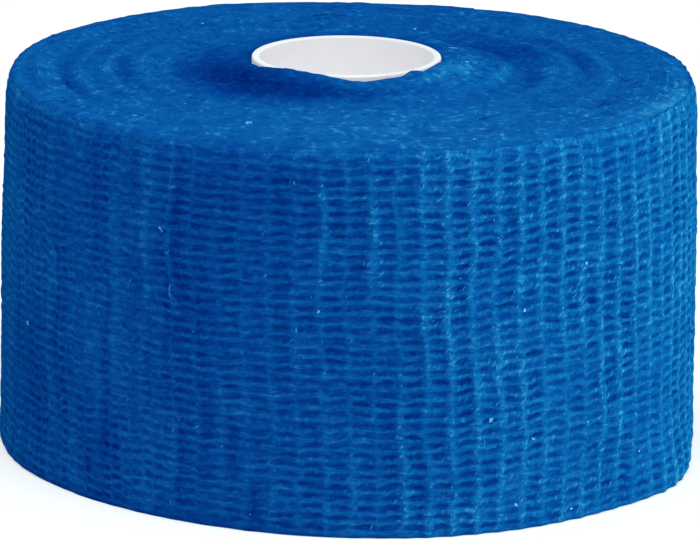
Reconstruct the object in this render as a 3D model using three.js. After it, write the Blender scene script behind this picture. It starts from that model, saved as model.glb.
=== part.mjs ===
import * as THREE from 'three';

// Cohesive bandage roll: one long strip of stretchy crepe cloth, wound on a plain tube.
// It stands on its flat end with its axis along Z, and the side in the photograph faces -Y.
// Lengths are in millimetres, and angles in degrees, counted from +X towards +Y.

// Driving dimensions
const BANDAGE_WIDTH = 50;
const ROLL_RADIUS = 46.2;
const TURN_PITCH = 0.5;
const CORE_RADIUS = 12.5;
const CORE_WALL = 1;
const CORE_LENGTH = 50;
const CORE_SLIDE = 1.9;
const CORE_SHIFT = -1.2;
const CORE_EDGE = 0.25;
const CORE_STEPS = 64;
const FITTING_GAP = 0.3;
const BORE_RADIUS = CORE_RADIUS + FITTING_GAP;

// The crossways ribs of the crepe, and the free end of the strip behind the roll
const RIB_COUNT = 88;
const RIB_HEIGHT = 0.3;
const CUT_END_ANGLE = 70;
const CUT_END_SLOPE = 0.15;

// The rim at the top is this much higher on the right, and lower on the left
const RIM_TILT = 0.6;

// Soft waves of the wound edges: how many go round, their height, and where the first crest lies
const RIM_WAVES = [
  { count: 3, height: 0.12, at: 25 },
  { count: 7, height: 0.08, at: 10 },
];

// The side, from the base up: height as a share of the width, distance out from the roll's
// radius, and share of the rib height
const SIDE_ROWS = [
  { share: 0, out: -0.7, rib: 0.2 },
  { share: 0.014, out: -0.05, rib: 0.6 },
  { share: 0.06, out: 0.2, rib: 1 },
  { share: 0.26, out: 0.15, rib: 1 },
  { share: 0.52, out: 0.05, rib: 1 },
  { share: 0.76, out: -0.2, rib: 1 },
  { share: 0.92, out: -0.4, rib: 1 },
  { share: 0.98, out: -0.6, rib: 0.5 },
  { share: 0.997, out: -1.2, rib: 0.2 },
];

// The top, from the rim in: shallow rings where the turns were wound higher or lower
const TOP_ROWS = [
  { radius: 44.2, rise: 0.15 },
  { radius: 42, rise: 0.35 },
  { radius: 40, rise: 0.4 },
  { radius: 36.5, rise: 0 },
  { radius: 33.5, rise: 0.55 },
  { radius: 31, rise: 0.1 },
  { radius: 27, rise: 0.8 },
  { radius: 23.5, rise: 0.3 },
  { radius: 19.5, rise: 1.2 },
  { radius: 16, rise: 1.9 },
  { radius: 13.8, rise: 2.2 },
];
const BORE_TOP_RISE = 1.9;

// The base, from the tube out: the inner turns have slid up with the tube and leave a recess
const BASE_ROWS = [
  { radius: BORE_RADIUS, rise: 2 },
  { radius: 16, rise: 1.5 },
  { radius: 20, rise: 0.7 },
  { radius: 24, rise: 0 },
];

// Lumps of the inner turns beside the tube: a hump at the front left, and a dip in front where
// the white tube shows
const EDGE_LUMPS = [
  { at: 238, spread: 24, rise: 0.85 },
  { at: 287, spread: 15, rise: -0.5 },
  { at: 338, spread: 16, rise: 0.15 },
];
const LUMP_REACH = 4.5;

const degree = Math.PI / 180;

function cloth(color) {
  return new THREE.MeshStandardMaterial({ color, roughness: 0.95, metalness: 0 });
}

function plastic(color) {
  return new THREE.MeshStandardMaterial({ color, roughness: 0.45, metalness: 0 });
}

// The part of a whole turn from the strip's cut end on to an angle
function turnsFromEnd(angle) {
  return THREE.MathUtils.euclideanModulo(angle - CUT_END_ANGLE, 360) / 360;
}

// How far the wound edges stand above or below their plane at a radius and an angle
function edgeRise(radius, angle) {
  const outward = radius / ROLL_RADIUS;
  let rise = RIM_TILT * Math.cos(angle * degree) * outward;
  for (const wave of RIM_WAVES) {
    rise += wave.height * outward * Math.cos(wave.count * (angle - wave.at) * degree);
  }
  for (const lump of EDGE_LUMPS) {
    const along = (angle - lump.at) / lump.spread;
    const across = (radius - BORE_RADIUS) / LUMP_REACH;
    rise += lump.rise * Math.exp(-along * along - across * across);
  }
  return rise;
}

// A point on the turn of a given radius: the turns' centres move over to the tube's axis
function turnPoint(radius, angle, height) {
  const inward = (ROLL_RADIUS - radius) / (ROLL_RADIUS - BORE_RADIUS);
  return new THREE.Vector3(
    CORE_SHIFT * inward + radius * Math.cos(angle * degree),
    radius * Math.sin(angle * degree),
    height,
  );
}

// The angles of the columns round the side, two for each rib. The last one closes up to the
// cut end, so that the end of the strip is a small upright step.
function sideAngles() {
  const columns = 2 * RIB_COUNT;
  const angles = [];
  for (let column = 0; column < columns; column += 1) {
    angles.push(CUT_END_ANGLE + (360 * column) / columns);
  }
  angles[columns - 1] = CUT_END_ANGLE + 360 - CUT_END_SLOPE;
  return angles.map((angle) => angle % 360);
}

function sideRing(row) {
  return sideAngles().map((angle, column) => {
    const ribOut = (column % 2 === 0 ? 0.5 : -0.5) * RIB_HEIGHT * row.rib;
    const turnOut = TURN_PITCH * (0.5 - turnsFromEnd(angle));
    const radius = ROLL_RADIUS + row.out + turnOut + ribOut;
    const height = row.share * (BANDAGE_WIDTH + edgeRise(ROLL_RADIUS, angle));
    return turnPoint(radius, angle, height);
  });
}

function ribAngles() {
  return sideAngles().filter((angle, column) => column % 2 === 0);
}

function topRing(radius, rise) {
  return ribAngles().map((angle) => (
    turnPoint(radius, angle, BANDAGE_WIDTH + rise + edgeRise(radius, angle))
  ));
}

function baseRing(row) {
  return ribAngles().map((angle) => turnPoint(row.radius, angle, row.rise));
}

// Faces between two neighbouring rings, where one may have twice the points of the other
function joinRings(from, to, faces) {
  const fromCount = from.length;
  const toCount = to.length;
  const steps = Math.min(fromCount, toCount);
  const fromStride = fromCount / steps;
  const toStride = toCount / steps;
  for (let step = 0; step < steps; step += 1) {
    const fromStart = from[step * fromStride];
    const fromEnd = from[((step + 1) * fromStride) % fromCount];
    const toStart = to[step * toStride];
    const toEnd = to[((step + 1) * toStride) % toCount];
    if (fromStride === 2) {
      const fromMiddle = from[step * 2 + 1];
      faces.push(fromStart, fromMiddle, toStart);
      faces.push(fromMiddle, toEnd, toStart);
      faces.push(fromMiddle, fromEnd, toEnd);
    } else if (toStride === 2) {
      const toMiddle = to[step * 2 + 1];
      faces.push(fromStart, toMiddle, toStart);
      faces.push(fromStart, fromEnd, toMiddle);
      faces.push(fromEnd, toEnd, toMiddle);
    } else {
      faces.push(fromStart, fromEnd, toEnd);
      faces.push(fromStart, toEnd, toStart);
    }
  }
}

// A closed body from rings that follow each other round its section and back to the first
function ringBody(rings) {
  const positions = [];
  const numbered = rings.map((ring) => ring.map((point) => {
    positions.push(point.x, point.y, point.z);
    return positions.length / 3 - 1;
  }));
  const faces = [];
  numbered.forEach((ring, index) => {
    joinRings(ring, numbered[(index + 1) % numbered.length], faces);
  });
  const geometry = new THREE.BufferGeometry();
  geometry.setAttribute('position', new THREE.Float32BufferAttribute(positions, 3));
  geometry.setIndex(faces);
  geometry.computeVertexNormals();
  return geometry;
}

// The wound cloth: up the side, in over the top, down the bore and out under the base
function bandageRoll() {
  const rings = [
    ...SIDE_ROWS.map(sideRing),
    ...TOP_ROWS.map((row) => topRing(row.radius, row.rise)),
    topRing(BORE_RADIUS, BORE_TOP_RISE),
    ...BASE_ROWS.map(baseRing),
  ];
  const mesh = new THREE.Mesh(ringBody(rings), cloth(0x0b59a3));
  mesh.name = 'bandage_roll';
  return mesh;
}

// The tube that the strip is wound on, with its edges eased
function coreTube() {
  const outer = CORE_RADIUS;
  const inner = CORE_RADIUS - CORE_WALL;
  const section = [
    [outer, CORE_EDGE],
    [outer, CORE_LENGTH - CORE_EDGE],
    [outer - CORE_EDGE, CORE_LENGTH],
    [inner + CORE_EDGE, CORE_LENGTH],
    [inner, CORE_LENGTH - CORE_EDGE],
    [inner, CORE_EDGE],
    [inner + CORE_EDGE, 0],
    [outer - CORE_EDGE, 0],
    [outer, CORE_EDGE],
  ].map(([radius, height]) => new THREE.Vector2(radius, height));
  const geometry = new THREE.LatheGeometry(section, CORE_STEPS);
  geometry.rotateX(Math.PI / 2);
  const mesh = new THREE.Mesh(geometry, plastic(0xe6e6ea));
  mesh.name = 'core_tube';
  mesh.position.set(CORE_SHIFT, 0, CORE_SLIDE);
  return mesh;
}

const roll = new THREE.Group();
roll.add(bandageRoll(), coreTube());

export default roll;
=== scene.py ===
import math

import bpy
import numpy as np
from mathutils import Euler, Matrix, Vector


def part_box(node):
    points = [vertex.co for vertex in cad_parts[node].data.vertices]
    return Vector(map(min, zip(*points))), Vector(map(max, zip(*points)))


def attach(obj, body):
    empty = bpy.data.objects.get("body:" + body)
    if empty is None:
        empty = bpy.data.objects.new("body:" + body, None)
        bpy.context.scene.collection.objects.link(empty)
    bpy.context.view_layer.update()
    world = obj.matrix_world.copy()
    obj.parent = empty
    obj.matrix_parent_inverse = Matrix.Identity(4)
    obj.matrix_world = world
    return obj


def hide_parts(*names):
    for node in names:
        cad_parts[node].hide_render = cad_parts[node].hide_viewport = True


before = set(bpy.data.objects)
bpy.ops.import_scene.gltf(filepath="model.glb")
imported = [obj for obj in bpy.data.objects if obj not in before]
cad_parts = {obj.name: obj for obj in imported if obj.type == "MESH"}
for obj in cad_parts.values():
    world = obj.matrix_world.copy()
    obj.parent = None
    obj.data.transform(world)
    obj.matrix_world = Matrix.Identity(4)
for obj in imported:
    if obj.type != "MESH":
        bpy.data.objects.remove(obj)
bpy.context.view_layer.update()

# Sizes are in metres, written as millimetres times MM. Angles are in degrees, counted from +X
# towards +Y, so the side in the photograph is at 270.
MM = 0.001


def table(columns, *rows):
    """A short table: each row as a dictionary, with the names of the columns as its keys."""
    return [dict(zip(columns.split(), row)) for row in rows]


# The tube. Its top stands CORE_MORE above that of its solid, and is cut slanting up to the right
core_low, core_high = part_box("core_tube")
CORE_RADIUS = (core_high.x - core_low.x) / 2
CORE_X = (core_high.x + core_low.x) / 2
CORE_WALL = 1 * MM
CORE_EDGE = 0.25 * MM
CORE_MORE = 0.36 * MM
CORE_SLANT = 0.019

# The wound cloth, with the main sizes of its solid in the frame. LEAN is how far to the left the
# outer turns lean from the base to the top
BANDAGE_WIDTH = 50 * MM
ROLL_RADIUS = 46.2 * MM
LEAN = 0.75 * MM
TURN_PITCH = 0.5 * MM
FITTING_GAP = 0.3 * MM
BORE_RADIUS = CORE_RADIUS + FITTING_GAP
CUT_END_ANGLE = 70
CUT_END_SLOPE = 0.12
RIM_TILT = 0.6 * MM
RIM_WAVES = table("count height at", (3, 0.12 * MM, 25), (7, 0.08 * MM, 10))

# The side, from the base up: height as a share of the width, and distance out. Beside the base
# it bulges out on two stretches
SIDE_SHARE = [0, 0.014, 0.06, 0.26, 0.52, 0.76, 0.92, 0.955, 0.98, 1]
SIDE_OUT = [-0.55, -0.25, -0.05, -0.1, -0.15, -0.4, -0.65, -0.77, -1.03, -1.4]
FOOT_BULGES = table("at spread out share", (337, 12, 1.2, 0.12), (200, 24, 0.75, 0.07))

# The top, from the tube out in millimetres: rings where the turns were wound higher or lower. It
# ends under the outer turn, and from SLOPE_START inside the rim it falls by RIM_SLOPE in each 1 out
TOP_RADIUS = [12.8, 13.8, 16, 19.5, 23.5, 27, 31, 33.5, 36.5, 40, 42, 43.6, 44.6, 45.4, 46.2]
TOP_RISE = [2.0, 2.2, 1.9, 1.2, 0.3, 0.8, 0.1, 0.55, 0.0, 0.4, 0.35, 0.25, 0.1, -0.1, -0.4]
TOP_END = 44.8 * MM
RIM_SLOPE = 2.6
SLOPE_START = 0.05 * MM

# Turns that stand up on a stretch of the top: their middle, half the stretch in degrees, rise and
# half width in millimetres, then how much of the rise is relief, and how much brighter painted light
# makes them
TOP_ARCS = table(
    "radius at spread rise wide",
    (43.6, 186, 45, 0.3, 0.8), (41.0, 190, 50, 0.3, 0.8), (39.4, 182, 30, 0.35, 0.8),
    (35.6, 186, 34, 0.3, 0.8), (31.6, 184, 34, 0.4, 0.8), (27.3, 182, 30, 0.35, 0.8),
    (24.0, 186, 36, 0.35, 0.8), (20.5, 350, 24, 0.3, 0.8), (26.5, 355, 20, 0.25, 0.8),
    (29.0, 16, 24, 0.25, 0.8), (34.0, 355, 36, 0.25, 0.8), (38.5, 330, 40, 0.2, 0.8),
    (36.0, 90, 60, 0.2, 0.8), (20.0, 100, 60, 0.2, 0.8),
)
ARC_RISE = 0.6
ARC_PAINTED_LIGHT = 0.8

# Stretches of the top brightened by painted light: middle and half the stretch in degrees, radius
# and half width in millimetres, and how much brighter
TOP_PAINTED_LIGHTS = table(
    "at spread radius wide bright",
    (280, 46, 34, 13, 0.27),
    (335, 25, 14.5, 3.5, 0.35),
    (342, 26, 43.4, 1.6, 0.5),
)

# Hollows of the top darkened by painted shade, likewise, then how much of their depth is relief
TOP_SHADES = table(
    "at spread radius wide deep",
    (214, 42, 17.6, 4.8, 1.1), (262, 28, 18.4, 2.0, 0.6), (34, 26, 22.4, 4.4, 0.6),
    (92, 70, 13.2, 1.2, 0.6), (28, 14, 27.0, 1.1, 0.35), (352, 12, 24.4, 1.0, 0.35),
    (16, 20, 31.6, 1.1, 0.3), (190, 18, 37.4, 1.1, 0.35), (188, 16, 29.9, 1.1, 0.35),
)
SHADE_RELIEF = 0.4

# The base, from the tube out in millimetres: the inner turns have slid up with the tube
BASE_RADIUS = [12.8, 16, 20, 24]
BASE_RISE = [2.0, 1.5, 0.7, 0.2]
BASE_END = 45.3 * MM
LOWEST_EDGE = 0.02 * MM

# Lumps of the inner turns beside the tube, in degrees and millimetres
EDGE_LUMPS = table(
    "at spread rise",
    (238, 24, 0.85),
    (278, 12, -0.4),
    (311, 4.5, 0.55),
    (338, 16, 0.6),
)
LUMP_REACH = 4.5 * MM

# The ridge of each turn: how uneven its height is in bands over a few turns, in tufts, along the
# turn and in fibres, its least and most, how calm it is by the tube and the rim, and its form
CREST_BANDS = 0.1 * MM
CREST_TUFTS = 0.11 * MM
CREST_LONG = 0.04 * MM
CREST_FINE = 0.02 * MM
CREST_LIMITS = (-0.15 * MM, 0.26 * MM)
CALM_REACH = 3 * MM
CALM_BY_TUBE = 0.25
CALM_BY_RIM = 0.4
RIDGE_START = 0.32 * TURN_PITCH
RIDGE_END = 0.7 * TURN_PITCH
RIDGE_DRIFT = 0.05 * MM
SHOULDER_DROP = 0.02 * MM
SHOULDER_UNEVEN = 0.03 * MM
EDGE_CLOTH = (0, 0.4, 0.7, 1)

# The outer border of the wound edges is drawn in under the last turn, to this share and so far down
UNDER_SHARE = 0.972
UNDER_DROP = 0.5 * MM

# The rim of the outer turn and the inner face behind its foot, as steps in and up in millimetres.
# Each step takes RIM_CLOTH of cloth, and borders that lie within MERGE_REACH are merged
RIM_STEPS = table("inward up", (0.08, 0.02), (0.2, 0.04), (0.34, 0.0), (0.46, -0.15), (0.5, -2.5))
FOOT_STEPS = table("inward up", (0.9, 2.5), (0.5, 0.1))
RIM_UNEVEN = 0.05 * MM
RIM_CLOTH = 0.3 * MM
MERGE_REACH = 0.002 * MM

# The crepe weave: upright ribs round the roll, and lengthways rows up its width. The steps are
# the columns of one rib and the levels of one row, as shares of them, each with its relief
RIBS = 88
RIB_STEPS = (0.0, 0.11, 0.31, 0.5, 0.69, 0.89)
RIB_BUMP = (1.0, 0.82, 0.28, 0.0, 0.28, 0.82)
SLIT_SHAPE = (0.15, 0.5, 0.95, 1.0, 0.95, 0.5)
ROWS = 37
ROW_STEPS = (0.0, 0.18, 0.5, 0.82)
ROW_SHAPE = (1.0, 0.6, 0.0, 0.6)
RIB_HEIGHT = 0.24 * MM
RIB_FADING = 0.22
RIB_MOST = 1.3
SLIT_DEPTH = 0.18 * MM
SLIT_SHORTER = 1.5
ROW_SLANT = 0.12 * MM
ROW_PITCH = BANDAGE_WIDTH / ROWS
RIB_PITCH = 2 * math.pi * ROLL_RADIUS / RIBS

# Soft unevenness of the side in millimetres, over so many columns and levels: out, aside and up
SIDE_SWELLS = table("size along up seed", (0.045, 16, 14, 15), (0.03, 3, 40, 16), (0.04, 1.2, 0.7, 17))
RIB_WANDER = table("size along up seed", (0.28, 8, 9, 18), (0.09, 2.5, 1.2, 19))
ROW_WAVER = table("size along up seed", (0.09, 5, 4, 20), (0.06, 1.3, 2, 21))

# The ribs lean to the left above LEAN_START, and near the rims the rows keep their places
RIB_LEAN = 1.2 * MM
LEAN_START = 14 * MM
SETTLE_REACH = 1.5 * MM

# How open the slits are, how much lighter the cloth is at random in parts of the side, how much
# painted shade darkens the creases, and how much painted light and shade change it at the rim
OPEN_MEAN = 0.78
OPEN_MOST = 1.6
OPEN_PATCHES = 0.08
OPEN_UPRIGHT = 0.6
CELL_LIGHT = 0.03
PATCH_LIGHT = 0.015
SWELL_LIGHT = 0.02
COLUMN_LIGHT = 0.11
CREASE_PAINTED_SHADE = -0.6
BELOW_RIM_PAINTED_LIGHT = 0.12
BELOW_RIM_REACH = 1.3 * MM
OVER_RIM_PAINTED_SHADE = -0.25
OVER_RIM_REACH = 2 * MM

# Round the roll, as angle and share: how far the ribs stand out, how much the slits open, and how
# much lighter or darker painted light and shade make the cloth, lightest on the right, where the lamp
# falls
RIB_SHARES = {
    0: 0.75, 35: 0.5, 75: 0.35, 130: 0.4, 200: 0.15, 240: 0.16, 270: 0.16, 278: 0.35, 285: 0.8,
    330: 0.9,
}
OPEN_SHARES = {0: 1.0, 50: 0.9, 120: 0.8, 190: 0.7, 236: 0.75, 262: 1.0, 290: 1.1}
PAINTED_LIGHT_SHARES = {0: 0.04, 60: 0.03, 120: 0.0, 250: 0.0, 265: -0.015, 290: 0.015, 340: 0.045}

# Likewise: how deep the slits are pressed in, how much they are split by a second, fainter rib,
# how much half ribs differ in their slits and in the height of their rows, how much the rows
# slant between two ribs, how much single slits differ, and how dark painted shade makes the foot
# of the side
DEPTH_SHARES = {0: 0.9, 60: 0.8, 120: 0.5, 190: 0.3, 240: 0.4, 262: 0.9, 290: 1.0}
SPLIT_SHARES = {120: 0.0, 170: 1.0, 236: 1.0, 250: 0.0}
COLUMN_SHARES = {0: 0.05, 60: 0.1, 150: 0.25, 190: 0.42, 236: 0.42, 252: 0.12, 270: 0.03}
SHIFT_SHARES = {0: 0.08, 120: 0.07, 236: 0.07, 252: 0.04, 275: 0.03, 290: 0.08}
SLANT_SHARES = {0: 1.0, 150: 1.0, 185: 1.7, 225: 1.7, 255: 1.2, 285: 1.0}
CELL_SHARES = {0: 0.22, 150: 0.2, 236: 0.2, 255: 0.11, 275: 0.12, 292: 0.22}
FOOT_SHADE_SHARES = {0: 0.1, 60: 0.15, 190: 0.35, 240: 0.3, 270: 0.15, 300: 0.05}
FOOT_SHADE_HEIGHT = 0.7 * MM

# Likewise: how much painted light just below the rim and painted shade just over it let the
# brightness of the top and of the side pass into each other
RIM_PAINT_SHARES = {0: 0.3, 120: 0.5, 200: 1.0, 270: 1.0, 300: 0.3, 330: 0.3}

# Ribs that stand out by themselves: which one from the cut end, lowest and highest place in
# millimetres, and how far
STRONG_RIBS = table(
    "rib from to share",
    (42, 0, 50, 0.5), (43, 12, 28, 0.5), (45, 21, 29, 0.5), (47, 20, 29, 0.6), (48, 33, 47, 0.9),
    (49, 3, 11, 0.7), (50, 32, 45, 1.15), (51, 1, 17, 1.0), (52, 18, 32, 0.8), (53, 4, 49, 1.1),
    (54, 27, 48, 0.9), (56, 8, 46, 0.9), (9, 14, 40, 0.9), (18, 3, 26, 0.9), (27, 22, 48, 0.8),
)

# What the shader of the side reads from its mesh
SIDE_ATTRIBUTES = ("opened", "rib", "light", "split")

# Upright creases of the outer turn: angle, lowest and highest place, depth and half width in
# millimetres. Painted shade darkens them as deep as they are
CREASES = table(
    "at from to deep wide",
    (243.4, 29, 49, 0.35, 0.5), (235.6, 29, 44, 0.2, 0.5), (233.9, 40, 48, 0.25, 0.5),
    (237.4, 14, 33, 0.2, 0.5), (241.0, 15, 33, 0.2, 0.5), (215.6, 16, 27, 0.25, 0.6),
    (227.8, 5, 12, 0.25, 0.5), (224.2, 2, 6, 0.25, 0.5), (242.7, 2, 13, 0.25, 0.5),
    (247.9, 11, 16, 0.2, 0.5), (251.7, 7, 14, 0.3, 0.5), (255.5, 1, 7, 0.3, 0.5),
    (40.0, 10, 44, 0.3, 0.6), (131.0, 4, 33, 0.3, 0.6), (167.0, 22, 47, 0.3, 0.6),
)

# Specks of lint, in millimetres: on the top by radius and angle, on the side by angle and height
TOP_LINT = table(
    "radius at size",
    (34.5, 249, 1.5), (39.8, 227, 0.9), (42.1, 245, 0.7), (40.5, 224, 0.6), (30.0, 226, 0.6),
    (41.6, 292, 0.7), (15.5, 25, 1.3), (16.0, 352, 1.1), (26.0, 70, 0.8), (33.0, 128, 0.8),
)
SIDE_LINT = table(
    "at height size",
    (312, 12.9, 0.6), (311, 34, 0.6), (299, 29, 0.7), (301, 12, 0.6), (309, 1.8, 0.6),
    (298, 3.5, 0.6), (293.4, 15.2, 1.0), (325, 7, 0.6), (315, 22, 0.5), (265.5, 29.6, 0.6),
    (206, 20, 0.8), (239, 38, 0.7), (150, 31, 0.9), (95, 12, 0.9), (48, 37, 1.0),
)

# Strands are flat and thin out at their ends: height as a share of width, and width at each step
STRAND_HEIGHT = 0.2
STITCH_ENDS = (0.2, 0.9, 1, 0.9, 0.2)
FIBRE_ENDS = (0.2, 1, 1, 0.2)
LINT_ENDS = (0.5, 1, 1, 0.5)

# How far they stand out at each step, in millimetres, or as a share on the top
STITCH_ARCH = (-0.06, 0, 0.01, 0, -0.06)
FIBRE_ARCH = (0, 0.03, 0.03, 0)
TOP_ARCH = (-0.5, 1, 1, -0.5)
FLANK_REACH = 0.36 * MM
TOP_FIBRE_REACH = (14.4 * MM, 43.4 * MM)
LINT_STRANDS = 4
LINT_OVER_TOP = 0.1 * MM
LINT_OVER_SIDE = 0.16 * MM

# The camera of the photograph, found from the roll's outline
CAMERA_DISTANCE = 739 * MM
CAMERA_RISE = 14.6
CAMERA_ROLL = 1.72
CAMERA_LENS = 285.4
SENSOR_WIDTH = 36
CAMERA_AIM = (0.1 * MM, 0, 23 * MM)
CAMERA_NEAR = 10 * MM
FLOOR_WIDTH = 8

# The sky, and the lamps: where they are and where they shine in metres, their width and height
SKY_COLOR = (0.8, 0.88, 0.96, 1)
SKY_STRENGTH = 0.45
LIGHTS = table(
    "name place aim size power color",
    ("key", (1.68, -0.28, 0.06), (0, 0, 0.03), (0.7, 0.12), 35, (0.95, 1.0, 0.5)),
    ("overhead", (0.1, -0.5, 1.7), (0, 0, 0.05), (1.2, 1.2), 25, (0.9, 1.0, 0.95)),
)


def soft_noise(shape, spreads, seed):
    """Random values of about unit size, smoothed over so many steps along each axis."""
    values = np.random.default_rng(seed).standard_normal(shape)
    for axis, spread in enumerate(spreads):
        if spread:
            frequency = np.fft.fftfreq(shape[axis])
            keep = np.exp(-2 * (math.pi * frequency * spread) ** 2)
            sides = [1] * len(shape)
            sides[axis] = shape[axis]
            waves = np.fft.fft(values, axis=axis) * keep.reshape(sides)
            values = np.fft.ifft(waves, axis=axis).real
    return values / values.std()


def with_noise(values, layers):
    """Values with soft noise of several sizes, in millimetres, added to them."""
    for layer in layers:
        spreads = (layer["along"], layer["up"])
        values = values + layer["size"] * MM * soft_noise(values.shape, spreads, layer["seed"])
    return values


def around(shares, angle):
    """Shares given at some angles, at all angles."""
    return np.interp(np.mod(angle, 360), list(shares), list(shares.values()), period=360)


def degrees_from(place, angle):
    """How far angles are from a place on the roll, from -180 to 180."""
    return np.mod(angle - place + 180, 360) - 180


def between(low, high, height, sharpness):
    """About 1 between two heights in millimetres, and 0 beyond them."""
    middle = (low + high) / 2 * MM
    reach = (high - low) / 2 * MM
    return np.exp(-((height - middle) / reach) ** sharpness)


def edge_rise(radius, angle):
    """How far the wound edges stand above or below their plane."""
    outward = radius / ROLL_RADIUS
    rise = RIM_TILT * np.cos(np.radians(angle)) * outward
    for wave in RIM_WAVES:
        turned = np.radians(wave["count"] * (angle - wave["at"]))
        rise = rise + wave["height"] * outward * np.cos(turned)
    for lump in EDGE_LUMPS:
        along = degrees_from(lump["at"], angle) / lump["spread"]
        across = (radius - BORE_RADIUS) / LUMP_REACH
        rise = rise + lump["rise"] * MM * np.exp(-along ** 2 - across ** 2)
    return rise


def on_roll(radius, angle, height):
    """Points of the roll as an array: the turns' centres move over to the tube's axis, and the
    outer turns lean a little to the left as they go up."""
    inward = (ROLL_RADIUS - radius) / (ROLL_RADIUS - BORE_RADIUS)
    turned = np.radians(angle)
    lean = LEAN * (0.5 - height / BANDAGE_WIDTH) * (1 - inward)
    across = CORE_X * inward + lean + radius * np.cos(turned)
    return np.stack([across, radius * np.sin(turned), height + 0 * turned], axis=-1)


def finished(piece, material, node):
    """Gives a piece its material and its place in the frame."""
    piece.data.materials.append(material)
    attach(piece, "root")
    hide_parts(node)


def set_attribute(piece, name, values):
    attribute = piece.data.attributes.new(name, "FLOAT", "POINT")
    attribute.data.foreach_set("value", np.asarray(values, dtype=np.float32).ravel())


def set_uv(piece, along, up):
    """A UV map in metres of cloth: along the strip, and up its width."""
    mesh = piece.data
    layer = mesh.uv_layers[0]
    layer.name = "cloth"
    corner_vertex = np.empty(len(mesh.loops), dtype=np.int32)
    mesh.loops.foreach_get("vertex_index", corner_vertex)
    corners = np.stack([along.ravel()[corner_vertex], up.ravel()[corner_vertex]], axis=-1)
    layer.data.foreach_set("uv", corners.astype(np.float32).ravel())


def select_only(piece):
    bpy.ops.object.select_all(action="DESELECT")
    bpy.context.view_layer.objects.active = piece
    piece.select_set(True)


def shade_smooth(piece, sharp_over):
    """Smooth shading, but sharp at edges of more than so many degrees."""
    select_only(piece)
    bpy.ops.object.shade_smooth_by_angle(angle=math.radians(sharp_over))


def select_borders():
    bpy.ops.mesh.select_all(action="DESELECT")
    bpy.ops.mesh.select_non_manifold(extend=False)


def grid_piece(name, points, along, up, attributes):
    """A drawn grid laid over points, an array of levels by columns by three. Its UV map is in
    metres of cloth, and borders that meet are merged."""
    levels, columns, _ = points.shape
    bpy.ops.mesh.primitive_grid_add(x_subdivisions=columns - 1, y_subdivisions=levels - 1, size=1)
    piece = bpy.context.object
    piece.name = name
    piece.data.vertices.foreach_set("co", points.astype(np.float32).ravel())
    set_uv(piece, along, up)
    for attribute, values in attributes.items():
        set_attribute(piece, attribute, values)
    bpy.ops.object.mode_set(mode="EDIT")
    bpy.ops.mesh.select_mode(type="VERT")
    select_borders()
    bpy.ops.mesh.remove_doubles(threshold=MERGE_REACH)
    bpy.ops.object.mode_set(mode="OBJECT")
    return piece


# The outer turn, with the relief of the weave


def rib_angles():
    return CUT_END_ANGLE + 360 / RIBS * np.arange(RIBS)


def half_rib_angles():
    return CUT_END_ANGLE + 180 / RIBS * (np.arange(2 * RIBS) + 0.5)


def rib_prominence(height):
    """How far every rib stands out at each height: most fade in and out."""
    share = around(RIB_SHARES, rib_angles())[:, None]
    fading = soft_noise((RIBS, len(height)), (0.4, 12), 14)
    prominence = np.clip(share + RIB_FADING * share ** 0.5 * fading, 0, RIB_MOST)
    for strong in STRONG_RIBS:
        rib = strong["rib"]
        along = between(strong["from"], strong["to"], height, 6)
        prominence[rib] = np.maximum(prominence[rib], strong["share"] * along)
    return prominence


def by_half_ribs(values, rib, step):
    """Values of the half ribs, at the columns: the mean of both sides where two of them meet."""
    middle = len(RIB_STEPS) // 2
    first = 2 * rib + (step > middle)
    second = np.where(step == 0, first - 1, np.where(step == middle, first + 1, first))
    return (values[first] + values[second % (2 * RIBS)]) / 2


def slit_openings():
    """How open the slits of each half rib are: patches, upright columns, single cells, and none
    beside the rims."""
    patch = soft_noise((RIBS, ROWS + 1), (1.2, 2.5), 11)
    cell = soft_noise((RIBS, ROWS + 1), (0, 0), 12)
    upright = soft_noise((RIBS, ROWS + 1), (0.3, 5), 13)
    single = around(CELL_SHARES, rib_angles())[:, None]
    opened = OPEN_MEAN + OPEN_PATCHES * patch + single * cell + OPEN_UPRIGHT * single * upright
    opened = np.repeat(opened, 2, axis=0)
    half_angle = half_rib_angles()
    column = soft_noise((2 * RIBS, ROWS + 1), (0, 4), 25)
    opened = np.clip(opened + around(COLUMN_SHARES, half_angle)[:, None] * column, 0, OPEN_MOST)
    opened *= around(OPEN_SHARES, half_angle)[:, None]
    opened[:, 0] = 0
    opened[:, ROWS - 1] *= 0.5
    opened[:, ROWS] = 0
    return opened


def cell_tones():
    """How much brighter or deeper the cells and patches of the cloth are at random, with painted light
    and shade round the roll added, lightest on the right.
    """
    cell = soft_noise((RIBS, ROWS + 1), (0.3, 0.5), 23)
    patch = soft_noise((RIBS, ROWS + 1), (1.3, 4), 24)
    uneven = (CELL_LIGHT * cell + PATCH_LIGHT * patch) * around(OPEN_SHARES, rib_angles())[:, None]
    return uneven + around(PAINTED_LIGHT_SHARES, rib_angles())[:, None]


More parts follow.
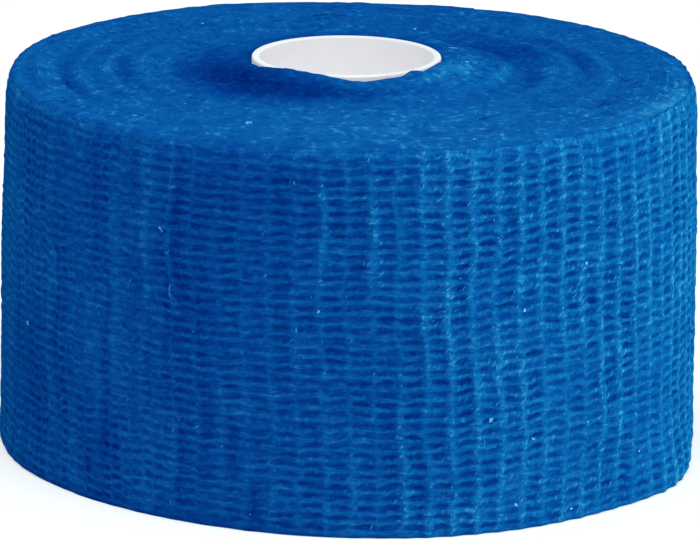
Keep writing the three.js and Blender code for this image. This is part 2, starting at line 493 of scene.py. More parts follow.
def side_grid():
    """The outer turn's side as arrays over columns and levels: everything but its rims."""
    columns = RIBS * len(RIB_STEPS)
    levels = ROWS * len(ROW_STEPS) + 1
    rib = np.repeat(np.arange(RIBS), len(RIB_STEPS))
    step = np.tile(np.arange(len(RIB_STEPS)), RIBS)
    rib_part = np.array(RIB_STEPS)[step]
    angle = CUT_END_ANGLE + 360 / RIBS * (rib + rib_part)
    angle[-1] = CUT_END_ANGLE + 360 - CUT_END_SLOPE
    row, kind = np.divmod(np.arange(levels), len(ROW_STEPS))
    share = (row + np.array(ROW_STEPS)[kind]) / ROWS
    height = share * BANDAGE_WIDTH

    nearest_slit = np.round(np.arange(levels) / len(ROW_STEPS)).astype(int)
    nearest_rib = (rib + (rib_part > 0.5)) % RIBS
    opened = by_half_ribs(slit_openings(), rib, step)[:, nearest_slit]
    light = cell_tones()[rib][:, nearest_slit]
    prominence = rib_prominence(height)[nearest_rib]

    # The relief: ribs, slits that are shorter beside strong ribs, swells and creases
    shape = np.array(SLIT_SHAPE)[step][:, None] ** (1 + SLIT_SHORTER * prominence)
    shape = opened * shape * np.array(ROW_SHAPE)[kind]
    hollow = shape * around(DEPTH_SHARES, angle)[:, None]
    out = RIB_HEIGHT * prominence * np.array(RIB_BUMP)[step][:, None] - SLIT_DEPTH * hollow
    out = with_noise(out, SIDE_SWELLS)
    light += SWELL_LIGHT * soft_noise((columns, levels), (12, 16), 22)
    upright = soft_noise((2 * RIBS, levels), (0.3, 30), 27)
    upright *= around(COLUMN_SHARES, half_rib_angles())[:, None]
    light += COLUMN_LIGHT * by_half_ribs(upright, rib, step)
    # Painted shade darkens the foot of the side, next to the floor
    light -= around(FOOT_SHADE_SHARES, angle)[:, None] * np.exp(-(height / FOOT_SHADE_HEIGHT) ** 2)
    # Painted light just below the rim, where the brightness of the top passes into the side
    below_rim = np.exp(-((BANDAGE_WIDTH - height) / BELOW_RIM_REACH) ** 2)
    light += BELOW_RIM_PAINTED_LIGHT * around(RIM_PAINT_SHARES, angle)[:, None] * below_rim
    for crease in CREASES:
        aside = np.radians(degrees_from(crease["at"], angle)) * ROLL_RADIUS
        dip = np.exp(-(aside / (crease["wide"] * MM)) ** 2)
        along = between(crease["from"], crease["to"], height, 4)
        depth = crease["deep"] * dip[:, None] * along
        out -= depth * MM
        # Each crease is darkened by painted shade as deep as it is
        light += CREASE_PAINTED_SHADE * depth

    # The ribs wander and lean over near the top, and the rows waver and slant a little
    aside = with_noise(np.zeros((columns, levels)), RIB_WANDER)
    aside -= RIB_LEAN * np.clip((height - LEAN_START) / (BANDAGE_WIDTH - LEAN_START), 0, 1)
    waver = with_noise(np.zeros((columns, levels)), ROW_WAVER)
    slant = np.where(step == 0, 0, rib_part - 0.5) * ROW_SLANT * around(SLANT_SHARES, angle)
    shift = soft_noise((2 * RIBS, levels), (0, 12), 26)
    shift *= around(SHIFT_SHARES, half_rib_angles())[:, None]
    settle = np.clip(np.minimum(height, BANDAGE_WIDTH - height) / SETTLE_REACH, 0, 1)
    lift = (waver + slant[:, None] + by_half_ribs(shift, rib, step) * ROW_PITCH) * settle
    return {
        "along": np.repeat((rib + rib_part)[:, None], levels, axis=1) * RIB_PITCH,
        "up": np.tile(height, (columns, 1)),
        "angle": angle[:, None] + np.degrees(aside / ROLL_RADIUS),
        "height": height + lift,
        "share": share,
        "out": out,
        "opened": opened,
        "rib": prominence,
        "light": light,
        "split": np.repeat(around(SPLIT_SHARES, angle)[:, None], levels, axis=1),
        "rib_angle": angle,
    }


def side_radius(share, angle):
    """The outer turn's radius before its relief."""
    turn_out = TURN_PITCH * (0.5 - np.mod(angle - CUT_END_ANGLE, 360) / 360)
    radius = ROLL_RADIUS + np.interp(share, SIDE_SHARE, SIDE_OUT) * MM + turn_out
    for bulge in FOOT_BULGES:
        aside = degrees_from(bulge["at"], angle) / bulge["spread"]
        radius = radius + bulge["out"] * MM * np.exp(-aside ** 2 - (share / bulge["share"]) ** 2)
    return radius


def outer_turn(grid):
    """The last turn of the strip, with its weave, its rims and its inner face."""
    columns = len(grid["out"])
    radius = side_radius(grid["share"], grid["rib_angle"][:, None]) + grid["out"]
    stretch = 1 + edge_rise(ROLL_RADIUS, grid["angle"]) / BANDAGE_WIDTH
    height = grid["height"] * stretch
    angle = grid["angle"]

    # Over the rim at the top, down the inner face and out under the base
    more_radius = []
    more_height = []
    uneven = RIM_UNEVEN * soft_noise((columns,), (1.6,), 31)
    for step in RIM_STEPS:
        more_radius.append(radius[:, -1] - step["inward"] * MM)
        more_height.append(height[:, -1] + step["up"] * MM + uneven * (step["up"] > 0))
    foot = np.minimum(radius[:, 0], ROLL_RADIUS - TURN_PITCH)
    for step in FOOT_STEPS:
        more_radius.append(foot - step["inward"] * MM)
        more_height.append(np.full(columns, step["up"] * MM))
    more_radius.append(radius[:, 0])
    more_height.append(height[:, 0])
    extra = len(more_radius)
    margin = np.zeros((columns, extra))

    def closed(values, turn=0.0):
        return np.concatenate([values, values[:1] + turn], axis=0).T

    def longer(values, more):
        return np.concatenate([values, more], axis=1)

    radius = longer(radius, np.stack(more_radius, axis=1))
    height = longer(height, np.stack(more_height, axis=1))
    angle = longer(longer(angle, margin[:, 1:] + angle[:, -1:]), angle[:, :1])
    points = on_roll(closed(radius), closed(angle, 360), closed(height))
    attributes = {}
    for name in SIDE_ATTRIBUTES:
        attributes[name] = closed(longer(grid[name], margin))
    along = longer(grid["along"], margin + grid["along"][:, -1:])
    up = longer(grid["up"], margin + BANDAGE_WIDTH + np.arange(1, extra + 1) * RIM_CLOTH)
    piece = grid_piece("outer_turn", points, closed(along, RIBS * RIB_PITCH), closed(up), attributes)
    shade_smooth(piece, 75)
    return piece


# The wound edges, top and base: a narrow strip wound up on its edge


def wound_edges(name, last_radius, steps, rise, light, depth, seed, facing):
    """The edges of the turns from the tube out, as one strip of three faces wound in a spiral:
    a valley, the ridge of the turn and the next valley. Each turn has so many steps, and facing
    is 1 for the top and -1 for the base."""
    turns = int(round((last_radius - BORE_RADIUS) / TURN_PITCH))
    count = turns * steps + 1
    more = np.arange(count + steps)
    angle_of = CUT_END_ANGLE + 360 * (turns - more / steps)
    radius_of = BORE_RADIUS + TURN_PITCH * more / steps

    # Each turn wanders a little in and out, its edge is ragged, and neighbouring turns rise together
    def along_turn(spread, more_seed):
        return soft_noise((len(more),), (spread,), seed + more_seed)

    def over_turns(spreads, more_seed):
        return soft_noise((turns + 2, steps), spreads, seed + more_seed).ravel()[:len(more)]

    drift = RIDGE_DRIFT * along_turn(5, 0)
    crest = CREST_BANDS * over_turns((1.3, steps / 9), 6) + CREST_TUFTS * over_turns((1.0, 1.8), 3)
    crest += CREST_LONG * along_turn(steps / 12, 1)
    crest += CREST_FINE * along_turn(0.8, 2)
    crest = np.clip(crest, *CREST_LIMITS)
    crest *= np.clip((radius_of - BORE_RADIUS) / CALM_REACH, CALM_BY_TUBE, 1)
    crest *= np.clip((ROLL_RADIUS - radius_of) / CALM_REACH, CALM_BY_RIM, 1)
    valley = depth * np.clip(0.7 + 0.35 * along_turn(4, 4), 0.1, 1.4)
    shoulder = SHOULDER_DROP + SHOULDER_UNEVEN * along_turn(1.5, 5)

    def edge_line(index, aside, dip):
        radius = radius_of[index] + aside
        angle = angle_of[index]
        height = rise(radius, angle) + facing * (crest[index] - dip)
        return on_roll(radius, angle, np.maximum(height, LOWEST_EDGE))

    before = np.arange(count)
    after = before + steps
    lines = [
        edge_line(before, 0, valley[before]),
        edge_line(before, RIDGE_START + drift[before], 0),
        edge_line(before, RIDGE_END + drift[before], shoulder[before]),
        edge_line(after, 0, valley[after]),
    ]
    # hollow darkens the valleys between the turns a little with painted shade, and light carries painted
    # light and shade
    dips = [valley[before] / depth, np.zeros(count), np.full(count, 0.2), valley[after] / depth]
    outer_light = light(radius_of[after], angle_of[after])
    inner_light = light(radius_of[before], angle_of[before])
    attributes = {"hollow": np.stack(dips), "light": np.stack([inner_light] * 3 + [outer_light])}
    along = np.cumsum(radius_of[before]) * 2 * math.pi / steps
    up = np.repeat(np.array(EDGE_CLOTH)[:, None] * TURN_PITCH, count, axis=1)
    piece = grid_piece(name, np.stack(lines), np.stack([along] * 4), up, attributes)
    close_underneath(piece, BANDAGE_WIDTH / 2 + facing * FITTING_GAP, facing)
    shade_smooth(piece, 80)
    return piece


def close_underneath(piece, flat_height, facing):
    """Draws both open borders down into the roll, the outer one in under the last turn first,
    and bridges them."""
    mesh = piece.data
    bpy.ops.object.mode_set(mode="EDIT")
    bpy.ops.mesh.select_mode(type="VERT")
    select_borders()
    bpy.ops.object.mode_set(mode="OBJECT")
    for vertex in mesh.vertices:
        if vertex.select and math.hypot(vertex.co.x, vertex.co.y) < ROLL_RADIUS / 2:
            vertex.select = False
    for edge in mesh.edges:
        edge.select = all(mesh.vertices[end].select for end in edge.vertices)
    bpy.ops.object.mode_set(mode="EDIT")
    bpy.ops.mesh.extrude_region_move()
    bpy.ops.transform.resize(value=(UNDER_SHARE, UNDER_SHARE, 1), center_override=(0, 0, flat_height))
    bpy.ops.transform.translate(value=(0, 0, -facing * UNDER_DROP))
    select_borders()
    bpy.ops.mesh.extrude_region_move()
    bpy.ops.transform.resize(value=(1, 1, 0), center_override=(0, 0, flat_height))
    bpy.ops.mesh.bridge_edge_loops()
    bpy.ops.mesh.select_all(action="SELECT")
    bpy.ops.mesh.normals_make_consistent(inside=False)
    bpy.ops.object.mode_set(mode="OBJECT")


def marks(places, radius, angle, size):
    """The sum of soft marks on the top, each along a stretch of a turn."""
    total = 0 * radius
    for mark in places:
        along = degrees_from(mark["at"], angle) / mark["spread"]
        across = (radius - mark["radius"] * MM) / (mark["wide"] * MM)
        total = total + mark[size] * np.exp(-along ** 2 - across ** 2)
    return total


def top_painted_light(radius, angle):
    """Painted light and shade of the top at a radius and an angle: how much brighter or darker it is."""
    light = marks(TOP_PAINTED_LIGHTS, radius, angle, "bright")
    light = light + ARC_PAINTED_LIGHT * marks(TOP_ARCS, radius, angle, "rise")
    light = light - marks(TOP_SHADES, radius, angle, "deep")
    # Painted shade on the top next to the rim
    rim = np.exp(-((radius - ROLL_RADIUS) / OVER_RIM_REACH) ** 2)
    return light + OVER_RIM_PAINTED_SHADE * rim * around(RIM_PAINT_SHARES, angle)


def top_rise(radius, angle):
    """The height of the top at a radius and an angle."""
    rise = np.interp(radius / MM, TOP_RADIUS, TOP_RISE)
    rise = rise + ARC_RISE * marks(TOP_ARCS, radius, angle, "rise")
    rise = rise - SHADE_RELIEF * marks(TOP_SHADES, radius, angle, "deep")
    over_rim = np.maximum(radius - side_radius(1, angle) + SLOPE_START, 0)
    return BANDAGE_WIDTH + rise * MM + edge_rise(radius, angle) - RIM_SLOPE * over_rim


def even_light(radius, angle):
    return 0 * radius


def base_rise(radius, angle):
    return np.interp(radius / MM, BASE_RADIUS, BASE_RISE) * MM + 0 * angle


# Threads and loose fibres


def strand_piece(name, paths, normals, radii, sides, tone):
    """Many thin strands in one mesh. paths and normals are strands by steps by three."""
    strands, steps, _ = paths.shape
    ahead = np.gradient(paths, axis=1)
    ahead /= np.linalg.norm(ahead, axis=2, keepdims=True)
    beside = np.cross(ahead, normals)
    beside /= np.linalg.norm(beside, axis=2, keepdims=True)
    upward = np.cross(beside, ahead)
    turned = np.arange(sides) * 2 * math.pi / sides
    ring = (
        STRAND_HEIGHT * upward[:, :, None] * np.cos(turned)[:, None]
        + beside[:, :, None] * np.sin(turned)[:, None]
    )
    points = paths[:, :, None] + ring * radii[:, :, None, None]
    number = np.arange(strands * steps * sides).reshape(strands, steps, sides)
    following = np.roll(number, -1, axis=2)
    faces = np.stack(
        [number[:, :-1], following[:, :-1], following[:, 1:], number[:, 1:]], axis=-1
    ).reshape(-1, 4)
    starts = number[:, 0, ::-1].reshape(-1, sides)
    ends = number[:, -1].reshape(-1, sides)
    mesh = bpy.data.meshes.new(name)
    mesh.from_pydata(points.reshape(-1, 3).tolist(), [], faces.tolist() + starts.tolist() + ends.tolist())
    piece = bpy.data.objects.new(name, mesh)
    bpy.context.collection.objects.link(piece)
    set_attribute(piece, "tone", np.repeat(tone, steps * sides))
    select_only(piece)
    bpy.ops.object.shade_flat()
    return piece


def out_of_roll(angle):
    turned = np.radians(angle)
    return np.stack([np.cos(turned), np.sin(turned), 0 * turned], axis=-1)


def upwards(paths):
    return np.zeros(paths.shape) + (0, 0, 1)


def floating(random, lowest, highest, count, arch):
    """How far strands stand out at each step: an arch, moved in or out by some millimetres."""
    return np.array(arch) * MM + random.uniform(lowest, highest, count)[:, None] * MM


def tapered(random, thinnest, thickest, count, ends):
    """Radii of strands, between two in millimetres, at each step along them."""
    return random.uniform(thinnest, thickest, count)[:, None] * np.array(ends) * MM


def curled(lean, bend, length, steps):
    """Flat shapes of strands that bend evenly: how far aside and up each step is."""
    along = np.linspace(-0.5, 0.5, steps)
    heading = lean[:, None] + bend[:, None] * along
    step = length[:, None] / (steps - 1)
    aside = np.cumsum(np.cos(heading) * step, axis=1)
    upward = np.cumsum(np.sin(heading) * step, axis=1)
    return aside - aside.mean(axis=1, keepdims=True), upward - upward.mean(axis=1, keepdims=True)


def rib_stitches(grid, tries, seed):
    """The crossing yarn of each rib, seen where it passes over the slits: short curled strands,
    upright or leaning right, that lie on the rib's flanks. There are more where a rib stands out."""
    random = np.random.default_rng(seed)
    rib = np.repeat(np.arange(RIBS), (ROWS - 1) * tries)
    slit = np.tile(np.repeat(np.arange(1, ROWS), tries), RIBS)
    level = slit * len(ROW_STEPS)
    prominence = grid["rib"][rib * len(RIB_STEPS), level]
    kept = random.uniform(0, 1, len(rib)) < 0.42 * prominence ** 1.3
    rib, level, prominence = rib[kept], level[kept], prominence[kept]
    count = len(rib)
    column = rib * len(RIB_STEPS)
    lean = np.radians(90 - random.normal(22, 26, count))
    length = random.gamma(6, 0.14, count) * MM
    aside, upward = curled(lean, random.normal(0, 1.3, count), length, 5)
    aside = aside + random.normal(0, 0.28, count)[:, None] * MM
    upward = upward + random.normal(0, 0.25, count)[:, None] * MM
    angle = grid["angle"][column, level][:, None] + np.degrees(aside / ROLL_RADIUS)
    share = grid["share"][level][:, None]
    even_angle = grid["rib_angle"][column][:, None]
    over = floating(random, -0.04, 0.03, count, STITCH_ARCH)
    flank = np.clip(np.abs(aside) / FLANK_REACH, 0, 2)
    opened = grid["opened"][column, level][:, None]
    drop = 0.18 * RIB_HEIGHT * prominence[:, None] * flank ** 2
    drop = drop + 0.35 * SLIT_DEPTH * opened * np.minimum(flank, 1)
    radius = side_radius(share, even_angle) + grid["out"][column, level][:, None] + over - drop
    stretch = 1 + edge_rise(ROLL_RADIUS, angle) / BANDAGE_WIDTH
    height = (grid["height"][column, level][:, None] + upward) * stretch
    radii = tapered(random, 0.07, 0.13, count, STITCH_ENDS)
    tone = np.clip(0.15 + 0.8 * random.beta(1.5, 2.6, count) + 0.1 * prominence, 0, 1)
    paths = on_roll(radius, angle, height)
    return strand_piece("rib_stitches", paths, out_of_roll(angle), radii, 3, tone)


def side_fibres(count, seed):
    """Short loose fibres on the side, most of them beside the ribs and leaning right."""
    random = np.random.default_rng(seed)
    rib = random.integers(0, RIBS, count)
    place = CUT_END_ANGLE + 360 / RIBS * (rib + random.normal(0, 0.25, count))
    kept = random.uniform(0, 1, count) < 0.03 + 0.6 * around(RIB_SHARES, place)
    place = place[kept]
    count = len(place)
    middle = random.uniform(1.5, 45.5, count) * MM
    lean = np.radians(random.normal(55, 35, count))
    length = random.gamma(4, 0.14, count) * MM
    aside, upward = curled(lean, random.normal(0, 0.9, count), length, 4)
    angle = place[:, None] + np.degrees(aside / ROLL_RADIUS)
    height = np.clip(middle[:, None] + upward, 0.3 * MM, BANDAGE_WIDTH - 0.3 * MM)
    over = floating(random, -0.06, 0.03, count, FIBRE_ARCH)
    radius = side_radius(height / BANDAGE_WIDTH, angle) + over
    radii = tapered(random, 0.05, 0.09, count, FIBRE_ENDS)
    tone = random.beta(1.3, 2.6, count)
    paths = on_roll(radius, angle, height)
    return strand_piece("side_fibres", paths, out_of_roll(angle), radii, 3, tone)


def top_fibres(count, seed):
    """Short loose fibres on the wound edges, most of them along the turns."""
    random = np.random.default_rng(seed)
    radius = np.sqrt(random.uniform(*np.square(TOP_FIBRE_REACH), count))
    place = random.uniform(0, 360, count)
    length = random.gamma(4, 0.16, count) * MM
    aside, inward = curled(random.normal(0, 1.0, count), random.normal(0, 1.2, count), length, 4)
    radius = np.clip(radius[:, None] + inward, BORE_RADIUS + 0.9 * MM, 43.8 * MM)
    angle = place[:, None] + np.degrees(aside / radius)
    arch = np.array(TOP_ARCH) * random.gamma(3, 0.015, count)[:, None] * MM
    float_up = random.uniform(-0.1, 0.02, count)[:, None] * MM
    height = top_rise(radius, angle) + arch + float_up
    radii = tapered(random, 0.06, 0.11, count, FIBRE_ENDS)
    # Fibres in the top's hollows get the same painted shade
    shade = marks(TOP_SHADES, radius, angle, "deep")[:, 0]
    tone = np.clip(random.beta(1.3, 3.2, count) * (1 - shade), 0, 1)
    paths = on_roll(radius, angle, height)
    return strand_piece("top_fibres", paths, upwards(paths), radii, 3, tone)


def lint(seed):
    """Specks of pale lint, each a tuft of a few short curled strands."""
    def each(specks, column):
        return np.repeat([speck[column] for speck in specks], LINT_STRANDS)[:, None]

    random = np.random.default_rng(seed)
    size = each(TOP_LINT + SIDE_LINT, "size") * MM
    count = len(size)
    lean = random.uniform(0, math.pi, count)
    bend = random.normal(0, 1.5, count)
    aside, upward = curled(lean, bend, size[:, 0] * random.uniform(0.4, 0.7, count), 4)
    aside = aside + random.normal(0, 0.12, count)[:, None] * size
    upward = upward + random.normal(0, 0.12, count)[:, None] * size
    top = len(TOP_LINT) * LINT_STRANDS
    radius = each(TOP_LINT, "radius") * MM + upward[:top]
    angle = each(TOP_LINT, "at") + np.degrees(aside[:top] / radius)
    top_paths = on_roll(radius, angle, top_rise(radius, angle) + LINT_OVER_TOP)
    angle = each(SIDE_LINT, "at") + np.degrees(aside[top:] / ROLL_RADIUS)
    height = each(SIDE_LINT, "height") * MM + upward[top:]
    radius = side_radius(height / BANDAGE_WIDTH, angle) + LINT_OVER_SIDE
    paths = np.concatenate([top_paths, on_roll(radius, angle, height)])
    normals = np.concatenate([upwards(top_paths), out_of_roll(angle)])
    radii = 0.11 * size * np.array(LINT_ENDS)
    return strand_piece("lint", paths, normals, radii, 5, random.uniform(0, 1, count))


# The tube


def core_tube():
    """The plain tube: a drawn cylinder with a wall and eased edges, cut a little slanted at the
    top."""
    bpy.ops.mesh.primitive_cylinder_add(
        vertices=160,
        radius=CORE_RADIUS,
        depth=core_high.z - core_low.z,
        end_fill_type="NOTHING",
        location=(CORE_X, 0, (core_low.z + core_high.z) / 2),
    )
    piece = bpy.context.object
    piece.name = "smooth_tube"
    bpy.ops.object.transform_apply(location=True, rotation=True, scale=True)
    wall = piece.modifiers.new("wall", "SOLIDIFY")
    wall.thickness = CORE_WALL
    wall.offset = -1
    wall.use_even_offset = True
    edges = piece.modifiers.new("edges", "BEVEL")
    edges.width = CORE_EDGE
    edges.segments = 4
    edges.limit_method = "ANGLE"
    bpy.ops.object.modifier_apply(modifier="wall")
    bpy.ops.object.modifier_apply(modifier="edges")
    for vertex in piece.data.vertices:
        if vertex.co.z > BANDAGE_WIDTH / 2:
            vertex.co.z += CORE_MORE + CORE_SLANT * (vertex.co.x - CORE_X)
    shade_smooth(piece, 40)
    return piece


# Materials

# The blue of the cloth, from the depths of the weave to its brightest threads: tone and colour
CLOTH_TONES = [
    (0.0, (0.0004, 0.0125, 0.145, 1)),
    (0.25, (0.0007, 0.031, 0.22, 1)),
    (0.5, (0.0014, 0.059, 0.295, 1)),
    (0.75, (0.004, 0.108, 0.375, 1)),
    (1.0, (0.026, 0.22, 0.52, 1)),
]

SIDE_TONE = 0.445
EDGE_TONE = 0.395
RELIEF_STRENGTH = 0.6

# The inputs of the shaders. The cloth is matte, with a faint blue bloom where it is seen edge on
CLOTH = {
    "Roughness": 0.95,
    "Specular IOR Level": 0.0,
    "Sheen Weight": 0.04,
    "Sheen Roughness": 0.5,
    "Sheen Tint": (0.0, 0.8, 1.0, 1),
}
# The tube glows faintly: painted light that lifts the shade inside it
GLOWING_TUBE = {
    "Specular IOR Level": 0.2,
    "Emission Color": (1.0, 0.98, 0.97, 1),
    "Emission Strength": 0.27,
}
FLOOR = {
    "Base Color": (0.55, 0.55, 0.55, 1),
    "Roughness": 1,
    "Specular IOR Level": 0,
    "Emission Color": (1, 1, 1, 1),
    "Emission Strength": 0.5,
}

# The dash of a slit and the thread of a weak rib, as shares of a cell: half the dash's length and
# height, and half the thread's width
DASH_REACH = 0.38
DASH_HEIGHT = 0.36
THREAD_WIDTH = 0.06

# Pairs of colours that pass into each other in patches
LINT_BLUES = [(0.06, 0.30, 0.68, 1), (0.16, 0.48, 0.85, 1)]
TUBE_WHITES = [(0.59, 0.58, 0.61, 1), (0.64, 0.63, 0.66, 1)]


def new_material(name, inputs):
    """A material, its node tree and its shader, with some inputs of the shader set."""
    material = bpy.data.materials.new(name)
    material.use_nodes = True
    tree = material.node_tree
    return material, tree, feed_all(tree, tree.nodes["Principled BSDF"], inputs)


def feed(tree, socket, value):
    """Links an output to a socket, or sets the socket to a plain value."""
    if isinstance(value, bpy.types.NodeSocket):
        tree.links.new(value, socket)
    else:
        socket.default_value = value


def feed_all(tree, node, inputs):
    for label, value in inputs.items():
        feed(tree, node.inputs[label], value)
    return node


def added(tree, kind, inputs):
    return feed_all(tree, tree.nodes.new("ShaderNode" + kind), inputs)


def calculated(tree, operation, *values):
    node = tree.nodes.new("ShaderNodeMath")
    node.operation = operation
    for socket, value in zip(node.inputs, values):
        feed(tree, socket, value)
    return node.outputs[0]


def eased(tree, value, low, high):
    """0 below low, 1 above high, and smooth between them."""
    node = added(tree, "MapRange", {"Value": value, "From Min": low, "From Max": high})
    node.interpolation_type = "SMOOTHSTEP"
    return node.outputs["Result"]


def faded(tree, value, low, high):
    """1 below low, 0 above high, and smooth between them."""
    return calculated(tree, "SUBTRACT", 1.0, eased(tree, value, low, high))


def product(tree, first, second):
    return calculated(tree, "MULTIPLY", first, second)


def noise(tree, vector, scale, detail):
    node = added(tree, "TexNoise", {"Vector": vector, "Scale": scale, "Detail": detail})
    return node.outputs["Fac"]


def place_noise(tree, per_mm, detail):
    """Noise that is as fine in all directions."""
    place = tree.nodes.new("ShaderNodeTexCoord")
    return noise(tree, place.outputs["Object"], per_mm / MM, detail)


def stretched(tree, vector, along, up, turn=0.0):
    """A flat vector turned by some degrees, then scaled along and up."""
    turned = added(tree, "VectorRotate", {"Vector": vector, "Angle": math.radians(turn)})
    turned.rotation_type = "Z_AXIS"
    node = added(tree, "VectorMath", {0: turned.outputs["Vector"], 1: (along, up, 1)})
    node.operation = "MULTIPLY"
    return node.outputs["Vector"]


def marked(tree, vector, along, up, detail, turn=0.0):
    """Noise in longish marks: how fine it is along them and across, and how far they are turned."""
    return noise(tree, stretched(tree, vector, along, up, turn), 1, detail)


def mottled(tree, grain, colors):
    """Two colours in soft patches of a noise."""
    node = tree.nodes.new("ShaderNodeMix")
    node.data_type = "RGBA"
    sockets = [socket for socket in node.inputs if socket.enabled]
    for socket, value in zip(sockets, [eased(tree, grain, 0.3, 0.7), *colors]):
        feed(tree, socket, value)
    return [socket for socket in node.outputs if socket.enabled][0]


def new_group(name, vectors, values, outputs):
    group = bpy.data.node_groups.new(name, "ShaderNodeTree")
    for label in vectors:
        group.interface.new_socket(label, in_out="INPUT", socket_type="NodeSocketVector")
    for label in values:
        group.interface.new_socket(label, in_out="INPUT", socket_type="NodeSocketFloat")
    for label in outputs:
        group.interface.new_socket(label, in_out="OUTPUT", socket_type="NodeSocketFloat")
    start = group.nodes.new("NodeGroupInput")
    end = group.nodes.new("NodeGroupOutput")
    return group, start.outputs, end.inputs


def color_cloth(tree, shader, tone):
    node = added(tree, "ValToRGB", {"Fac": tone})
    stops = node.color_ramp.elements
    for place, color in CLOTH_TONES[1:-1]:
        stops.new(place)
    for stop, (place, color) in zip(stops, CLOTH_TONES):
        stop.color = color
    feed(tree, shader.inputs["Base Color"], node.outputs["Color"])


def summed(tree, start, *parts):
    """start plus each part, given as a value and its weight."""
    total = start
    for value, weight in parts:
        total = calculated(tree, "MULTIPLY_ADD", value, weight, total)
    return total


def fibre_group():
    """The fuzz of fine fibres, as tones round 0: specks of every direction, and marks along the
    yarn and across it on a slant. Knots are the few bright strokes, which lean right."""
    group, start, end = new_group("crepe_fuzz", ["Place", "Cloth"], [], ["Specks", "Yarn", "Knot"])
    specks = noise(group, start["Place"], 1.4 / MM, 1.5)
    yarn = marked(group, start["Cloth"], 0.5 / MM, 2.4 / MM, 1)
    across = marked(group, start["Cloth"], 1 / MM, 3.6 / MM, 1, -52)
    strokes = marked(group, start["Cloth"], 1 / MM, 2.5 / MM, 0.7, -58)
    feed(group, end["Specks"], summed(group, -0.275, (specks, 0.55)))
    feed(group, end["Yarn"], summed(group, -0.575, (yarn, 0.9), (across, 0.25)))
    feed(group, end["Knot"], eased(group, strokes, 0.56, 0.74))
    return group


def from_whole(tree, value):
    """How far a value is from the nearest whole number."""
    part = calculated(tree, "FRACT", calculated(tree, "ADD", value, 0.5))
    return calculated(tree, "ABSOLUTE", calculated(tree, "SUBTRACT", part, 0.5))


def slit_group():
    """The weave in cells of one rib by one row: a soft dash in each, which is shorter between
    strong ribs, the light thread of the rib, and the crest of the row, which fades beside the
    ribs where the cells are split."""
    group, start, end = new_group(
        "crepe_slits", ["Cloth"], ["Opened", "Rib", "Split"], ["Slit", "Thread", "Crest"]
    )
    cells = stretched(group, start["Cloth"], 1 / RIB_PITCH, 1 / ROW_PITCH)
    cell = added(group, "SeparateXYZ", {"Vector": cells}).outputs
    waver = marked(group, cells, 4, 1.8, 2)
    from_slit = from_whole(group, summed(group, cell["Y"], (waver, 0.5), (0.25, -1.0)))
    wander = marked(group, cells, 1.6, 1.5, 2)
    along = summed(group, cell["X"], (wander, 0.35), (0.175, -1.0))
    whole_rib = from_whole(group, along)
    half_rib = from_whole(group, product(group, along, 2.0))
    finer = calculated(group, "SUBTRACT", half_rib, whole_rib)
    from_rib = summed(group, whole_rib, (finer, start["Split"]))

    # The dash is a rounded oblong round the middle of the cell
    reach = summed(group, DASH_REACH, (start["Rib"], -0.13), (wander, 0.16))
    across = calculated(group, "DIVIDE", calculated(group, "SUBTRACT", 0.5, from_rib), reach)
    across = calculated(group, "POWER", across, 4.0)
    upward = calculated(group, "POWER", calculated(group, "DIVIDE", from_slit, DASH_HEIGHT), 2.0)
    dash = faded(group, calculated(group, "ADD", across, upward), 0.0, 1.15)
    feed(group, end["Slit"], product(group, dash, start["Opened"]))

    thread = faded(group, from_rib, 0.0, summed(group, THREAD_WIDTH, (start["Rib"], 0.16)))
    patchy = eased(group, marked(group, cells, 6.5, 2.6, 1, -35), 0.35, 0.65)
    thread = product(group, thread, summed(group, 0.4, (patchy, 0.6)))
    feed(group, end["Thread"], product(group, thread, start["Rib"]))
    gap = product(group, faded(group, from_rib, 0.0, 0.16), start["Split"])
    crest = product(group, eased(group, from_slit, 0.05, 0.5), summed(group, 1.0, (gap, -0.8)))
    feed(group, end["Crest"], crest)
    return group


def attribute(tree, name):
    node = tree.nodes.new("ShaderNodeAttribute")
    node.attribute_name = name
    return node.outputs["Fac"]


def grouped(tree, group, inputs):
    node = tree.nodes.new("ShaderNodeGroup")
    node.node_tree = group
    return feed_all(tree, node, inputs).outputs


def fuzz(tree, fibres):
    """The fuzz of the cloth on a piece: the outputs of its group, the piece's cloth map, and
    the place on it."""
    node = tree.nodes.new("ShaderNodeUVMap")
    node.uv_map = "cloth"
    cloth = node.outputs["UV"]
    place = tree.nodes.new("ShaderNodeTexCoord").outputs["Object"]
    return grouped(tree, fibres, {"Place": place, "Cloth": cloth}), cloth, place


def raised(tree, shader, height, distance):
    inputs = {"Strength": RELIEF_STRENGTH, "Distance": distance, "Height": height}
    feed(tree, shader.inputs["Normal"], added(tree, "Bump", inputs).outputs["Normal"])


def side_cloth(fibres, slits):
    """The outer face of the strip, with its slits and ribs."""
    material, tree, shader = new_material("crepe_side", CLOTH)
    grain, cloth, _ = fuzz(tree, fibres)
    opened, rib, light, split = [attribute(tree, name) for name in SIDE_ATTRIBUTES]
    inputs = {"Cloth": cloth, "Opened": opened, "Rib": rib, "Split": split}
    slit, thread, crest = grouped(tree, slits, inputs)
    knot = product(tree, grain["Knot"], summed(tree, 0.1, (rib, 0.8)))
    # Painted shade darkens the slits and painted light brightens the crests of the rows. The rib's thread
    # is its own paler yarn, brightened most on the lit right by painted highlight. light adds the side's
    # random tones and its painted light and shade
    tone = summed(
        tree, SIDE_TONE, (grain["Specks"], 0.7), (grain["Yarn"], 0.7), (light, 1.0),
        (crest, 0.12), (slit, -0.22), (thread, 0.19), (knot, 0.3),
    )
    color_cloth(tree, shader, tone)
    fluff = calculated(tree, "ADD", grain["Specks"], grain["Yarn"])
    height = summed(tree, 0.5, (fluff, 1.6), (slit, -0.6), (thread, 0.5), (knot, 0.6))
    raised(tree, shader, height, 0.12 * MM)
    return material


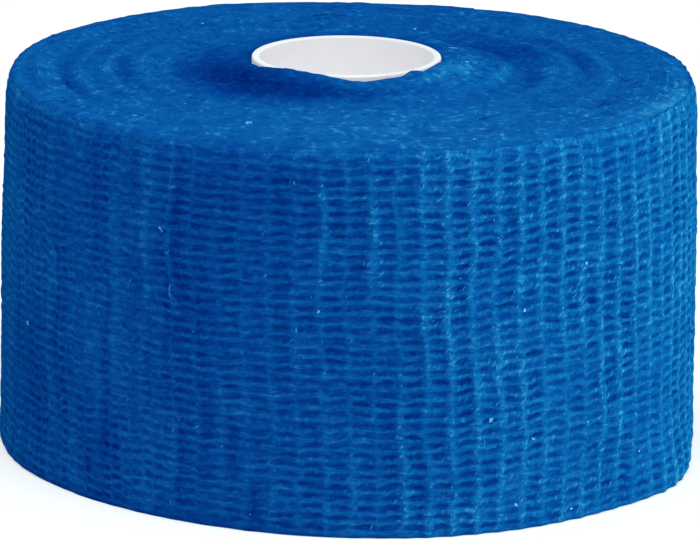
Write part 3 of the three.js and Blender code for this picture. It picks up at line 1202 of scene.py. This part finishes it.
def edge_cloth(fibres):
    """The cut and wound edges of the turns."""
    material, tree, shader = new_material("crepe_edges", CLOTH)
    grain, _, place = fuzz(tree, fibres)
    tufts = noise(tree, place, 0.45 / MM, 1)
    bright = eased(tree, noise(tree, place, 1.1 / MM, 0.5), 0.52, 0.82)
    light = attribute(tree, "light")
    hollow = attribute(tree, "hollow")
    # The tone takes painted light and shade from light, and painted shade in the valleys from hollow
    tone = summed(
        tree, EDGE_TONE, (grain["Specks"], 0.5), (grain["Yarn"], 0.12), (tufts, 0.41),
        (light, 0.5), (hollow, -0.05), (bright, 0.24),
    )
    color_cloth(tree, shader, tone)
    height = summed(tree, 0.0, (grain["Specks"], 1.4), (grain["Yarn"], 0.4), (tufts, 1.8))
    raised(tree, shader, height, 0.15 * MM)
    return material


def thread_cloth(name, darker, brighter):
    """Single threads and fibres, each with a tone of its own between two."""
    material, tree, shader = new_material(name, CLOTH)
    grain = place_noise(tree, 1.2, 2)
    tone = summed(tree, darker - 0.1, (attribute(tree, "tone"), brighter - darker), (grain, 0.2))
    color_cloth(tree, shader, tone)
    return material


def lint_material():
    """Pale lint, in two blues."""
    material, tree, shader = new_material("pale_lint", CLOTH)
    feed(tree, shader.inputs["Base Color"], mottled(tree, place_noise(tree, 1.5, 2), LINT_BLUES))
    return material


def tube_material():
    """Smooth white plastic with a faint haze and a faint glow: painted light that lifts the shade inside
    the tube.
    """
    material, tree, shader = new_material("glowing_white_tube", GLOWING_TUBE)
    haze = place_noise(tree, 0.12, 3)
    feed(tree, shader.inputs["Base Color"], mottled(tree, haze, TUBE_WHITES))
    feed(tree, shader.inputs["Roughness"], summed(tree, 0.45, (haze, 0.2)))
    return material


# The stage, the lights and the camera


def make_floor():
    bpy.ops.mesh.primitive_plane_add(size=FLOOR_WIDTH, location=(0, 0, 0))
    floor = bpy.context.object
    floor.name = "pale_floor"
    material, _, _ = new_material("pale_floor", FLOOR)
    floor.data.materials.append(material)


def area_light(name, place, aim, size, power, color):
    """An oval soft light, size being its width and height."""
    bpy.ops.object.light_add(type="AREA", location=place)
    light = bpy.context.object
    light.name = name
    light.data.shape = "ELLIPSE"
    light.data.size, light.data.size_y = size
    light.data.energy = power
    light.data.color = color
    heading = Vector(aim) - Vector(place)
    light.rotation_euler = heading.to_track_quat("-Z", "Y").to_euler()


def make_lights():
    world = bpy.data.worlds.new("studio")
    world.use_nodes = True
    background = world.node_tree.nodes["Background"]
    background.inputs["Color"].default_value = SKY_COLOR
    background.inputs["Strength"].default_value = SKY_STRENGTH
    bpy.context.scene.world = world
    for light in LIGHTS:
        area_light(**light)


def make_camera():
    rise = math.radians(CAMERA_RISE)
    above = BANDAGE_WIDTH / 2 + CAMERA_DISTANCE * math.sin(rise)
    place = Vector((0, -CAMERA_DISTANCE * math.cos(rise), above))
    bpy.ops.object.camera_add(location=place)
    camera = bpy.context.object
    camera.data.lens = CAMERA_LENS
    camera.data.sensor_width = SENSOR_WIDTH
    heading = Vector(CAMERA_AIM) - place
    level = heading.to_track_quat("-Z", "Y").to_matrix()
    roll = Euler((0, 0, math.radians(CAMERA_ROLL))).to_matrix()
    camera.rotation_euler = (level @ roll).to_euler()
    camera.data.clip_start = CAMERA_NEAR
    bpy.context.scene.camera = camera


make_camera()
make_floor()
make_lights()
bpy.context.scene.view_settings.view_transform = "Standard"

fibres = fibre_group()
side = side_cloth(fibres, slit_group())
edges = edge_cloth(fibres)
threads = thread_cloth("rib_yarn", darker=0.6, brighter=1.1)
loose = thread_cloth("loose_fibres", darker=0.55, brighter=1.0)

grid = side_grid()
outer = outer_turn(grid)
top = wound_edges(
    "top_edges", last_radius=TOP_END, steps=480, rise=top_rise, light=top_painted_light, depth=0.04 * MM,
    seed=60, facing=1,
)
base = wound_edges(
    "base_edges", last_radius=BASE_END, steps=200, rise=base_rise, light=even_light, depth=0.06 * MM,
    seed=80, facing=-1,
)
cloth_pieces = [
    (outer, side),
    (top, edges),
    (base, edges),
    (rib_stitches(grid, tries=4, seed=40), threads),
    (side_fibres(count=2500, seed=91), loose),
    (top_fibres(count=1500, seed=92), loose),
    (lint(seed=93), lint_material()),
]
for piece, material in cloth_pieces:
    finished(piece, material, "bandage_roll")
finished(core_tube(), tube_material(), "core_tube")
